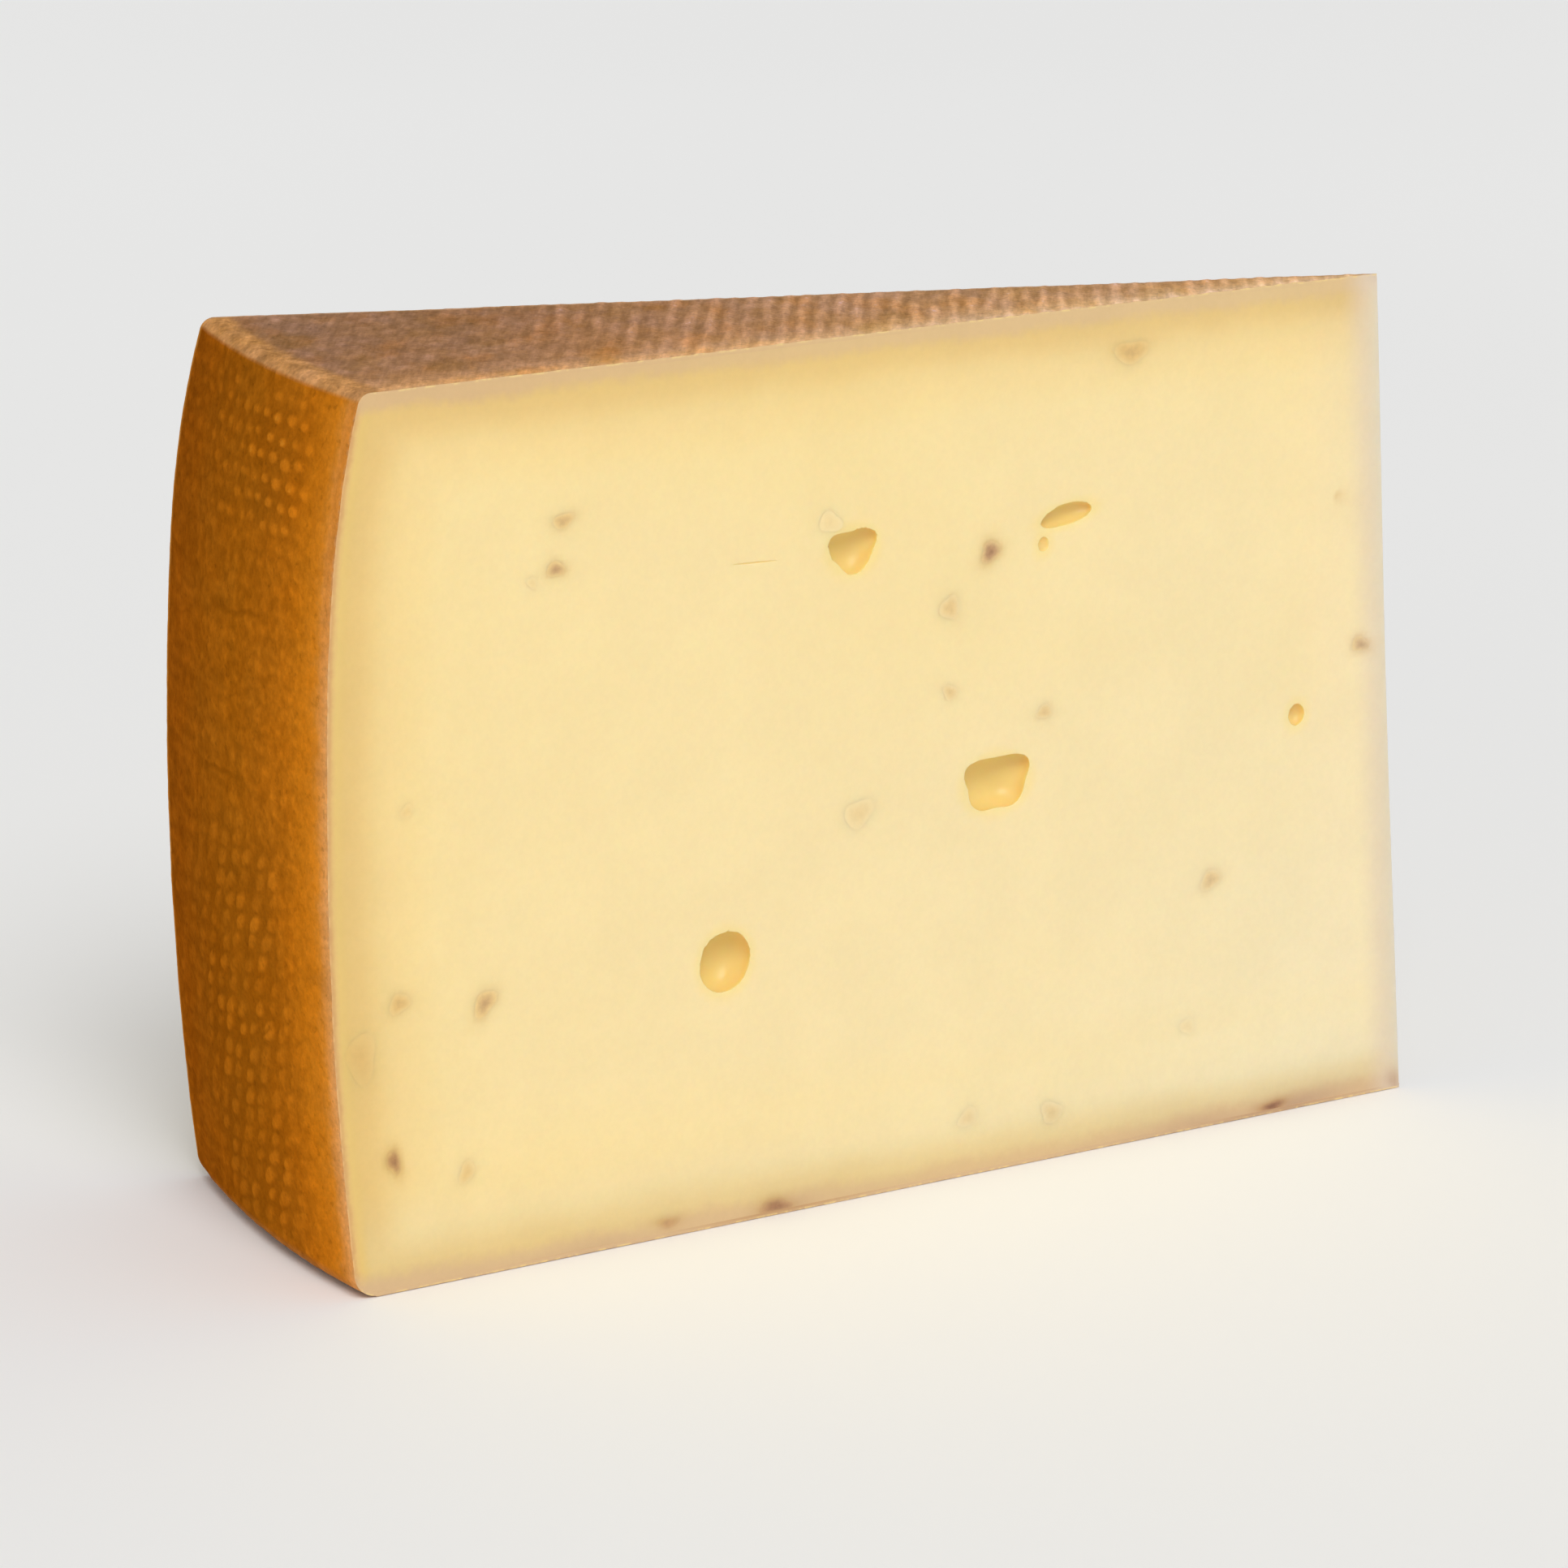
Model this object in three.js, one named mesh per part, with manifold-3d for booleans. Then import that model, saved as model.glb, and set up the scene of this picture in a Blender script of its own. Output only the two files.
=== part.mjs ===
// A wedge cut from a small wheel of semi-hard cheese with porcini mushrooms in it.
// Millimetres, +Z up. The long cut face looks along -Y, the rind heel along -X, the thin edge is at +X.
import * as THREE from "three";
import { mergeVertices } from "three/addons/utils/BufferGeometryUtils.js";
import Module from "manifold-3d";

// The wheel that the wedge was cut from
const wheelHeight = 90;
const rimRadius = 124.7; // of the flat faces, before the side swells
const sideBulge = 3.6; // how far the side stands out past the rim
const fullestHeight = 51; // where the side swells most
const bulgePowerAbove = 3; // higher is a flatter side with a quicker turn
const bulgePowerBelow = 2;
const topRounding = 1.2; // radius of the worn edge between side and top
const bottomRounding = 2.4;

// The two cuts
const wedgeAngle = THREE.MathUtils.degToRad(18.6);
const tipLean = 7.9; // the thin edge runs this much further out at the bottom than at the top

// Fineness of the faceting
const wheelSegments = 360;
const roundingSteps = 5;
const sideSteps = 22;
const eyeSegments = 24;
const eyeRings = 14;

// The eyes are gas bubbles that a cut went through. Each is given on its cut face: how far from the
// thin edge, how high, how wide, how tall and how deep, and its turn in degrees. An outline that isn't
// round has some corners: blunt is how far they stand out and cornerAt the angle of the first. It may
// taper, wider towards its top, or have a bend, as a bean has.
const frontEyes = [
  { fromTip: 52.3, height: 41.6, wide: 8.2, tall: 5.8, deep: 2.4, corners: 4, blunt: 0.09, cornerAt: 45,
    taper: 0.22 },
  { fromTip: 87, height: 27.7, wide: 6, tall: 6.3, deep: 2.6, turn: -10, taper: 0.05 },
  { fromTip: 68.7, height: 68.1, wide: 5.6, tall: 4.4, deep: 2, corners: 3, blunt: 0.09, cornerAt: 42,
    taper: 0.12, bend: 0.15 },
  { fromTip: 41.9, height: 68.6, wide: 6.4, tall: 2.1, deep: 1.3, turn: 9, bend: -0.18 },
  { fromTip: 45, height: 65.9, wide: 1.3, tall: 1.5, deep: 0.4 },
  { fromTip: 12.7, height: 43.6, wide: 2.1, tall: 2.3, deep: 0.9 },
];
const backEyes = [
  { fromTip: 94, height: 58.5, wide: 6.6, tall: 5.6, deep: 2.3, corners: 3, blunt: 0.08, cornerAt: 80 },
  { fromTip: 66.5, height: 33, wide: 7.2, tall: 6.1, deep: 2.5, corners: 4, blunt: 0.06, cornerAt: 20,
    taper: -0.1 },
  { fromTip: 103, height: 19, wide: 4.2, tall: 4.6, deep: 1.8 },
  { fromTip: 42, height: 63, wide: 5.1, tall: 4.2, deep: 1.6, turn: -20, bend: 0.4 },
  { fromTip: 27, height: 22.5, wide: 3, tall: 2.6, deep: 1.1 },
];
const eyeSink = 0.28; // how far a bubble's middle lies inside the cut, as a part of its depth

const wasm = await Module();
wasm.setup();

// A closed three.js geometry as a solid that can be cut.
function solidOf(geometry) {
  const bare = geometry.clone();
  bare.deleteAttribute("normal");
  bare.deleteAttribute("uv");
  const merged = mergeVertices(bare, 1e-4);
  const index = merged.index.array;
  const triangles = [];
  for (let i = 0; i < index.length; i += 3) {
    const [a, b, c] = index.slice(i, i + 3);
    if (a !== b && b !== c && c !== a) triangles.push(a, b, c);
  }
  const mesh = new wasm.Mesh({
    numProp: 3,
    vertProperties: new Float32Array(merged.attributes.position.array),
    triVerts: new Uint32Array(triangles),
  });
  return new wasm.Manifold(mesh);
}

// A cut solid as a three.js geometry again.
function geometryOf(solid) {
  const mesh = solid.getMesh();
  const geometry = new THREE.BufferGeometry();
  geometry.setAttribute("position", new THREE.BufferAttribute(mesh.vertProperties, mesh.numProp));
  geometry.setIndex(new THREE.BufferAttribute(mesh.triVerts, 1));
  geometry.computeVertexNormals();
  return geometry;
}

// How far the wheel's side stands out past its rim at a height, without the rounded edges.
function bulgeAt(height) {
  const above = height > fullestHeight;
  const reach = above ? wheelHeight - fullestHeight : fullestHeight;
  const part = Math.abs(height - fullestHeight) / reach;
  return sideBulge * (1 - part ** (above ? bulgePowerAbove : bulgePowerBelow));
}

// The wheel's half section, from the middle of its bottom out and up to the middle of its top.
function wheelProfile() {
  const points = [new THREE.Vector2(0, 0)];
  const add = (height, inset) => points.push(new THREE.Vector2(rimRadius + bulgeAt(height) - inset, height));
  for (let i = 0; i <= roundingSteps; i++) {
    const angle = (Math.PI / 2) * (1 - i / roundingSteps);
    add(bottomRounding * (1 - Math.sin(angle)), bottomRounding * (1 - Math.cos(angle)));
  }
  const sideHeight = wheelHeight - bottomRounding - topRounding;
  for (let i = 1; i < sideSteps; i++) {
    add(bottomRounding + (sideHeight * i) / sideSteps, 0);
  }
  for (let i = 0; i <= roundingSteps; i++) {
    const angle = ((Math.PI / 2) * i) / roundingSteps;
    add(wheelHeight - topRounding * (1 - Math.sin(angle)), topRounding * (1 - Math.cos(angle)));
  }
  points.push(new THREE.Vector2(0, wheelHeight));
  return points;
}

// The whole wheel, with its axis on Z.
function wheel() {
  const geometry = new THREE.LatheGeometry(wheelProfile(), wheelSegments);
  geometry.rotateX(Math.PI / 2);
  return solidOf(geometry);
}

// Where the thin edge is at a height. The wheel's axis is at X = 0, where that edge meets the top.
function tipAt(height) {
  return tipLean * (1 - height / wheelHeight);
}

// The space between the two cuts: a tall prism whose thin edge leans, with its front face on Y = 0.
function cutSpace() {
  const reach = rimRadius * 2;
  const margin = 1;
  const corner = new THREE.Shape();
  corner.moveTo(0, 0);
  corner.lineTo(-reach * Math.cos(wedgeAngle), reach * Math.sin(wedgeAngle));
  corner.lineTo(-reach, 0);
  corner.closePath();
  const depth = wheelHeight + 2 * margin;
  const geometry = new THREE.ExtrudeGeometry(corner, { depth, bevelEnabled: false });
  geometry.translate(0, 0, -margin);
  const place = geometry.attributes.position;
  for (let i = 0; i < place.count; i++) place.setX(i, place.getX(i) + tipAt(place.getZ(i)));
  return solidOf(geometry);
}

// One bubble, standing in the XZ plane with its middle sunk along +Y.
function bubble(eye) {
  const { wide, tall, deep, turn = 0, corners = 0, blunt = 0, cornerAt = 0, taper = 0, bend = 0 } = eye;
  const ball = new THREE.SphereGeometry(1, eyeSegments, eyeRings);
  const place = ball.attributes.position;
  const sunk = Math.sqrt(1 - eyeSink ** 2); // so that the opening, not the bubble, has the given size
  const point = new THREE.Vector3();
  for (let i = 0; i < place.count; i++) {
    point.fromBufferAttribute(place, i);
    const around = Math.atan2(point.z, point.x) - THREE.MathUtils.degToRad(cornerAt);
    const swell = (1 + blunt * Math.cos(corners * around)) / sunk;
    const x = point.x * swell * (1 + taper * point.z);
    const z = point.z * swell + bend * (x * x - 0.5);
    place.setXYZ(i, (x * wide) / 2, (point.y + eyeSink) * deep, (z * tall) / 2);
  }
  ball.rotateY(-THREE.MathUtils.degToRad(turn));
  return ball;
}

// Where a bubble goes on a cut face that leaves the thin edge at an angle.
function placedBubble(eye, angle, inward) {
  const geometry = bubble(eye);
  geometry.scale(1, inward, 1);
  if (inward < 0) geometry.index.array.reverse();
  geometry.translate(-eye.fromTip, 0, eye.height);
  geometry.rotateZ(-angle);
  geometry.translate(tipAt(eye.height), 0, 0);
  return solidOf(geometry);
}

function wedge() {
  let solid = wheel().intersect(cutSpace());
  for (const eye of frontEyes) solid = solid.subtract(placedBubble(eye, 0, 1));
  for (const eye of backEyes) solid = solid.subtract(placedBubble(eye, wedgeAngle, -1));
  const geometry = geometryOf(solid);
  geometry.computeBoundingBox();
  const middle = geometry.boundingBox.getCenter(new THREE.Vector3());
  geometry.translate(-middle.x, -middle.y, 0);
  return geometry;
}

const cheese = new THREE.MeshStandardMaterial({ color: 0xf7e2ab, roughness: 0.5, metalness: 0 });

const group = new THREE.Group();
const body = new THREE.Mesh(wedge(), cheese);
body.name = "wedge";
group.add(body);

export default group;
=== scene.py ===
import math
import random

import bmesh
import bpy
import numpy as np
from mathutils import Matrix, Vector, noise


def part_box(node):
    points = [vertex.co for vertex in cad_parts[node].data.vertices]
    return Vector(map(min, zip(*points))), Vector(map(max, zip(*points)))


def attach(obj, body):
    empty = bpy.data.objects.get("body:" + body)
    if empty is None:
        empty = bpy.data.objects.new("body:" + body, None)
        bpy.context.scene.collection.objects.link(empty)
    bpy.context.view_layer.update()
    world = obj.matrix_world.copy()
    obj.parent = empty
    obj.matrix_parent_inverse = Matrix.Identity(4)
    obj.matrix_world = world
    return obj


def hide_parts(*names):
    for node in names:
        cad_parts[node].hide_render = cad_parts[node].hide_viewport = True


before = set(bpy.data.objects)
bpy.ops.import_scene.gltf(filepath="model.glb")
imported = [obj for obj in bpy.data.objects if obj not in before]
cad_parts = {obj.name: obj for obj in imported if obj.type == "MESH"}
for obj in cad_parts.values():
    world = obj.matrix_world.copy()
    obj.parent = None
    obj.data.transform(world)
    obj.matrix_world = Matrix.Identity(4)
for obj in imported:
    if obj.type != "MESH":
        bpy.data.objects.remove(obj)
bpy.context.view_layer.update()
boxLow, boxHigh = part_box("wedge")
print("frame loaded")

mm = 0.001

# The wheel that the wedge comes from, and its two cuts
wheel = {
    "sideBulge": 3.6 * mm,
    "fullestHeight": 51 * mm,
    "powerAbove": 3,
    "powerBelow": 2,
    "topRounding": 1.2 * mm,
    "bottomRounding": 2.4 * mm,
    "wedgeAngle": math.radians(18.6),
    "tipLean": 7.9 * mm,  # the thin edge runs further out at the bottom
}
# How far the thin edge is cut back, in millimetres: at its ends, and how much further in its middle
thinEdge = {"atEnds": 0.18, "inMiddle": 0.27}
# How far a cut by hand lies behind a true plane, in millimetres, with slow and fine waves
handCut = {
    "mean": 0.10,
    "slow": 0.075,
    "slowSize": 38 * mm,
    "fine": 0.025,
    "fineSize": 9 * mm,
    "trueEdge": 14 * mm,  # from the thin edge, until the waves are full
    "frontSeed": 2.0,
    "backSeed": 9.0,
}
wheelHeight = boxHigh.z - boxLow.z
axisX = boxHigh.x - wheel["tipLean"]  # of the wheel's axis, which lies in the front cut
frontY = boxLow.y
rimRadius = axisX - boxLow.x - wheel["sideBulge"]
backOut = Vector((math.sin(wheel["wedgeAngle"]), math.cos(wheel["wedgeAngle"]), 0))


def smoothStep(low, high, value):
    part = min(max((value - low) / (high - low), 0.0), 1.0)
    return part * part * (3 - 2 * part)


def mix(a, b, part):
    return a + (b - a) * part


def wander(point, size, seed=0.0):
    # smooth noise from -1 to 1, with features about as large as size
    return noise.noise(Vector(point) / size + Vector((seed, 3.1 * seed, -1.7 * seed)))


def bulgeAt(height):
    above = height > wheel["fullestHeight"]
    room = wheelHeight - wheel["fullestHeight"] if above else wheel["fullestHeight"]
    part = abs(height - wheel["fullestHeight"]) / room
    return wheel["sideBulge"] * (1 - part ** wheel["powerAbove" if above else "powerBelow"])


def outlineRadius(height, inset=0.0):
    # the wheel's radius at a height, with its rounded edges; inset draws the whole outline in
    isUpper = height > wheelHeight / 2
    rounding = wheel["topRounding" if isUpper else "bottomRounding"]
    fromFace = wheelHeight - height if isUpper else height
    into = min(max(rounding - fromFace, 0) / (rounding - inset), 1)
    return rimRadius + bulgeAt(height) - rounding + (rounding - inset) * math.sqrt(1 - into * into)


def tipAt(height):
    return axisX + wheel["tipLean"] * (1 - height / wheelHeight)


def tipTrim(height):
    return (thinEdge["atEnds"] + thinEdge["inMiddle"] * math.sin(math.pi * height / wheelHeight) ** 2) * mm


def cutDirection(angle):
    # from the thin edge towards the rind: 0 lies in the front cut, wedgeAngle in the back one
    return Vector((-math.cos(angle), math.sin(angle), 0))


def reach(height, angle, radius):
    # how far from the thin edge the wheel's circle lies, in a direction
    lean = tipAt(height) - axisX
    across = lean * -math.cos(angle)
    return -across + math.sqrt(across * across - lean * lean + radius * radius)


def placeAt(height, angle, along):
    return Vector((tipAt(height), frontY, height)) + cutDirection(angle) * along


def behindBack(place):
    # how far a point lies behind the plane of the back cut
    return (Vector((tipAt(place.z), frontY, place.z)) - place).dot(backOut)


def cutWave(x, z, along, seed):
    # the fine waves are longer along the cut than up it
    slow = handCut["slow"] * wander((x, 0, z), handCut["slowSize"], seed)
    fine = handCut["fine"] * wander((x * 0.4, 0, z), handCut["fineSize"], seed + 1)
    return smoothStep(0, handCut["trueEdge"], along) * (handCut["mean"] + slow + fine) * mm


def waveIn(place, along, across):
    # draws a point in from the two flat cuts
    front = cutWave(place.x, place.z, along, handCut["frontSeed"]) * (1 - across)
    back = cutWave(place.x, place.z, along, handCut["backSeed"]) * across
    return place + Vector((0, front, 0)) - backOut * back


def newPiece(name, bm, materials):
    mesh = bpy.data.meshes.new(name)
    bm.to_mesh(mesh)
    bm.free()
    piece = bpy.data.objects.new(name, mesh)
    bpy.context.scene.collection.objects.link(piece)
    for material in materials:
        mesh.materials.append(material)
    return piece


def softShade(piece, sharpFrom):
    # smooth shading, with edges steeper than sharpFrom degrees kept crisp
    bm = bmesh.new()
    bm.from_mesh(piece.data)
    for face in bm.faces:
        face.smooth = True
    for edge in bm.edges:
        edge.smooth = edge.calc_face_angle(0) < math.radians(sharpFrom)
    bm.to_mesh(piece.data)
    bm.free()


def store(piece, name, values):
    layer = piece.data.attributes.new(name, "FLOAT", "POINT")
    layer.data.foreach_set("value", np.asarray(values, dtype=np.float32))


def pointsOf(piece):
    flat = np.empty(len(piece.data.vertices) * 3, dtype=np.float32)
    piece.data.vertices.foreach_get("co", flat)
    return flat.reshape(-1, 3).astype(float)


# Materials

def srgb(red, green, blue):
    linear = [c / 255 / 12.92 if c < 11 else ((c / 255 + 0.055) / 1.055) ** 2.4 for c in (red, green, blue)]
    return (*linear, 1)


def shade(level):
    return (level, level, level, 1)


class Nodes:
    # a short way to add and join shader nodes

    def __init__(self, name):
        self.material = bpy.data.materials.new(name)
        self.material.use_nodes = True
        self.tree = self.material.node_tree
        self.shader = self.tree.nodes["Principled BSDF"]
        self.place = self.add("ShaderNodeTexCoord").outputs["Object"]

    def add(self, kind, settings=None, **inputs):
        node = self.tree.nodes.new(kind)
        for key, value in (settings or {}).items():
            setattr(node, key, value)
        for key, value in inputs.items():
            self.feed(node.inputs[key.replace("_", " ")], value)
        return node

    def feed(self, socket, value):
        if isinstance(value, bpy.types.NodeSocket):
            self.tree.links.new(value, socket)
        else:
            socket.default_value = value

    def axis(self, letter):
        return self.add("ShaderNodeSeparateXYZ", Vector=self.place).outputs[letter]

    def noise(self, size, detail=3, roughness=0.55, longer=1, turn=0.0):
        # features about as large as size, in metres, and longer in a level direction turned from X
        turned = {"Rotation": (0, 0, turn), "Scale": (longer, 1, 1)}
        mapping = self.add("ShaderNodeMapping", {"vector_type": "TEXTURE"}, Vector=self.place, **turned)
        grain = {"Scale": 1 / size, "Detail": detail, "Roughness": roughness}
        return self.add("ShaderNodeTexNoise", Vector=mapping.outputs[0], **grain).outputs["Fac"]

    def attribute(self, name):
        return self.add("ShaderNodeAttribute", {"attribute_name": name}).outputs["Fac"]

    def math(self, operation, a, b=0.0, c=0.0, clamp=False):
        node = self.add("ShaderNodeMath", {"operation": operation, "use_clamp": clamp})
        for socket, value in zip(node.inputs, (a, b, c)):
            self.feed(socket, value)
        return node.outputs[0]

    def sum(self, first, *others):
        for other in others:
            first = self.math("ADD", first, other)
        return first

    def product(self, first, *others):
        for other in others:
            first = self.math("MULTIPLY", first, other)
        return first

    def wobble(self, size, amount, detail=4):
        # wanders to both sides of 0, by half of amount at most
        return self.product(self.sum(self.noise(size, detail), -0.5), amount)

    def between(self, value, low, high, out=(0.0, 1.0)):
        node = self.add("ShaderNodeMapRange", {"interpolation_type": "SMOOTHSTEP"}, Value=value)
        for socket, number in zip(node.inputs[1:5], (low, high, *out)):
            socket.default_value = number
        return node.outputs[0]

    def ramp(self, value, span, stops):
        # stops are given in the value's own unit, from 0 to span
        node = self.add("ShaderNodeValToRGB", Fac=self.math("DIVIDE", value, span, clamp=True))
        band = node.color_ramp
        while len(band.elements) < len(stops):
            band.elements.new(0.5)
        for element, (position, colour) in zip(band.elements, stops):
            element.position = position / span
            element.color = colour
        return node.outputs["Color"]

    def blend(self, part, a, b, kind="MIX"):
        node = self.add("ShaderNodeMix", {"data_type": "RGBA", "blend_type": kind})
        self.feed(node.inputs[0], part)
        self.feed(node.inputs[6], a)
        self.feed(node.inputs[7], b)
        return node.outputs[2]

    def gain(self, colour, level):
        return self.blend(1.0, colour, level, "MULTIPLY")

    def bump(self, height, distance, strength, under=None):
        node = self.add("ShaderNodeBump", Height=height, Distance=distance, Strength=strength)
        if under is not None:
            self.feed(node.inputs["Normal"], under)
        return node.outputs[0]

    def glow(self, weight, scale):
        # light wanders under the surface, red the furthest
        self.feed(self.shader.inputs["Subsurface Weight"], weight)
        self.shader.inputs["Subsurface Radius"].default_value = (1.0, 0.65, 0.35)
        self.shader.inputs["Subsurface Scale"].default_value = scale


def cutTone(n):
    # the colour of a cut: pale inside, a deeper yellow towards the rind and browned right under it
    toHeel = n.attribute("toHeel")  # these three in millimetres
    toFace = n.attribute("toFace")
    toTip = n.attribute("toTip")
    upper = n.between(n.axis("Z"), 0.4 * wheelHeight, 0.6 * wheelHeight)
    lower = n.sum(n.product(upper, -1.0), 1.0)
    nearFace = n.product(toFace, n.between(n.axis("X"), -30 * mm, 10 * mm, (0.88, 1.0)))
    nearHeel = n.sum(n.product(toHeel, 0.78), 0.3)
    near = n.sum(n.math("SMOOTH_MIN", nearHeel, nearFace, 2.5), n.wobble(9 * mm, 1.6, 3))
    colour = n.ramp(near, 16, [
        (0.0, srgb(226, 190, 122)),
        (1.6, srgb(230, 195, 122)),
        (3.0, srgb(234, 200, 129)),
        (4.0, srgb(239, 207, 137)),
        (5.0, srgb(242, 213, 145)),
        (6.0, srgb(246, 217, 150)),
        (8.0, srgb(248, 221, 155)),
        (10.0, srgb(249, 224, 161)),
        (16.0, srgb(249, 225, 165)),
    ])
    low = n.between(n.axis("Z"), 0.0, wheelHeight, (1.05, 0.30))
    pale = n.math("MULTIPLY", n.product(toHeel, 1 / 125), low, clamp=True)
    colour = n.blend(pale, colour, n.gain(colour, (0.96, 1.037, 1.31, 1)))
    colour = n.blend(n.product(lower, n.between(toFace, 4, 12, (1.0, 0.0))), colour,
                     n.gain(colour, (0.985, 1.06, 1.25, 1)))
    atTip = n.product(n.between(n.axis("Z"), 0.55 * wheelHeight, 0.95 * wheelHeight), n.between(toTip, 12, 2))
    colour = n.blend(atTip, colour, n.gain(colour, (0.93, 0.95, 1.0, 1)))
    underSide = n.ramp(n.sum(toHeel, n.wobble(0.9 * mm, 0.7)), 3, [
        (0.15, srgb(214, 163, 104)),
        (0.4, srgb(219, 171, 108)),
        (0.8, srgb(230, 190, 118)),
        (1.2, srgb(232, 197, 118)),
    ])
    nearSide = n.between(n.sum(toHeel, n.wobble(0.8 * mm, 0.5)), 1.0, 2.4, (1.0, 0.0))
    colour = n.blend(nearSide, colour, underSide)
    ragged = n.sum(toFace, n.wobble(1.1 * mm, 1.1), n.wobble(6 * mm, 2.2))
    browned = n.blend(n.between(n.axis("X"), -50 * mm, 50 * mm), srgb(219, 182, 133), srgb(224, 191, 140))
    colour = n.blend(n.product(n.between(ragged, 1.1, 2.7, (0.95, 0.0)), upper), colour, browned)
    below = n.product(n.between(ragged, 0.7, 2.9, (0.95, 0.0)), lower)
    colour = n.blend(below, colour, srgb(216, 182, 139))
    # painted shade: greyer along the thin edge, as its thin rounded edge looks in the light
    colour = n.blend(n.between(toTip, 0.5, 5.5, (0.85, 0.0)), colour, srgb(223, 205, 184))
    colour = n.blend(n.attribute("bruise"), colour, srgb(192, 157, 126))
    # painted warm bounce light on the back cut, which lies in the shade and looks green without it
    atBack = n.between(n.axis("Y"), frontY + 0.5 * mm, frontY + 2.5 * mm)
    colour = n.blend(atBack, colour, n.gain(colour, (1.03, 0.985, 0.90, 1)))
    cloud = n.between(n.noise(8 * mm, detail=4), 0.3, 0.7, (0.985, 1.012))
    grain = n.between(n.noise(0.8 * mm, detail=4, roughness=0.7), 0.3, 0.7, (0.985, 1.012))
    level = n.between(n.axis("Z"), 0.0, wheelHeight, (0.94, 0.98))
    colour = n.gain(colour, n.product(cloud, grain, level))
    return n.gain(colour, n.ramp(n.attribute("stain"), 1, [
        (0.0, (1, 1, 1, 1)),
        (0.25, (0.88, 0.78, 0.66, 1)),
        (0.6, (0.62, 0.47, 0.42, 1)),
        (1.0, (0.40, 0.25, 0.24, 1)),
    ]))


def pasteMaterial():
    n = Nodes("paste")
    inEye = n.between(n.attribute("eyeDepth"), 0.05, 0.4)
    colour = cutTone(n)
    colour = n.blend(n.attribute("rim"), colour, n.gain(colour, (1.0, 0.97, 0.82, 1)))
    colour = n.blend(n.product(inEye, 0.9), colour, srgb(241, 213, 134))
    n.feed(n.shader.inputs["Base Color"], colour)
    satin = n.between(n.noise(5 * mm, detail=5), 0.3, 0.7, (0.42, 0.52))
    n.feed(n.shader.inputs["Roughness"], n.sum(satin, n.product(inEye, -0.1)))
    n.shader.inputs["Specular IOR Level"].default_value = 0.35
    inside = n.between(n.math("MINIMUM", n.attribute("toHeel"), n.attribute("toFace")), 0.4, 3.0, (0.0, 0.4))
    n.glow(n.sum(inside, n.product(inEye, 0.45)), 2 * mm)
    curd = n.bump(n.noise(2.6 * mm, detail=4), 0.03 * mm, 0.4)
    fine = n.bump(n.noise(0.45 * mm, detail=4, roughness=0.65), 0.02 * mm, 0.5, curd)
    drag = n.bump(n.noise(0.5 * mm, detail=3, longer=20), 0.010 * mm, 0.5, fine)
    n.feed(n.shader.inputs["Normal"], drag)
    return n.material


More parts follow.
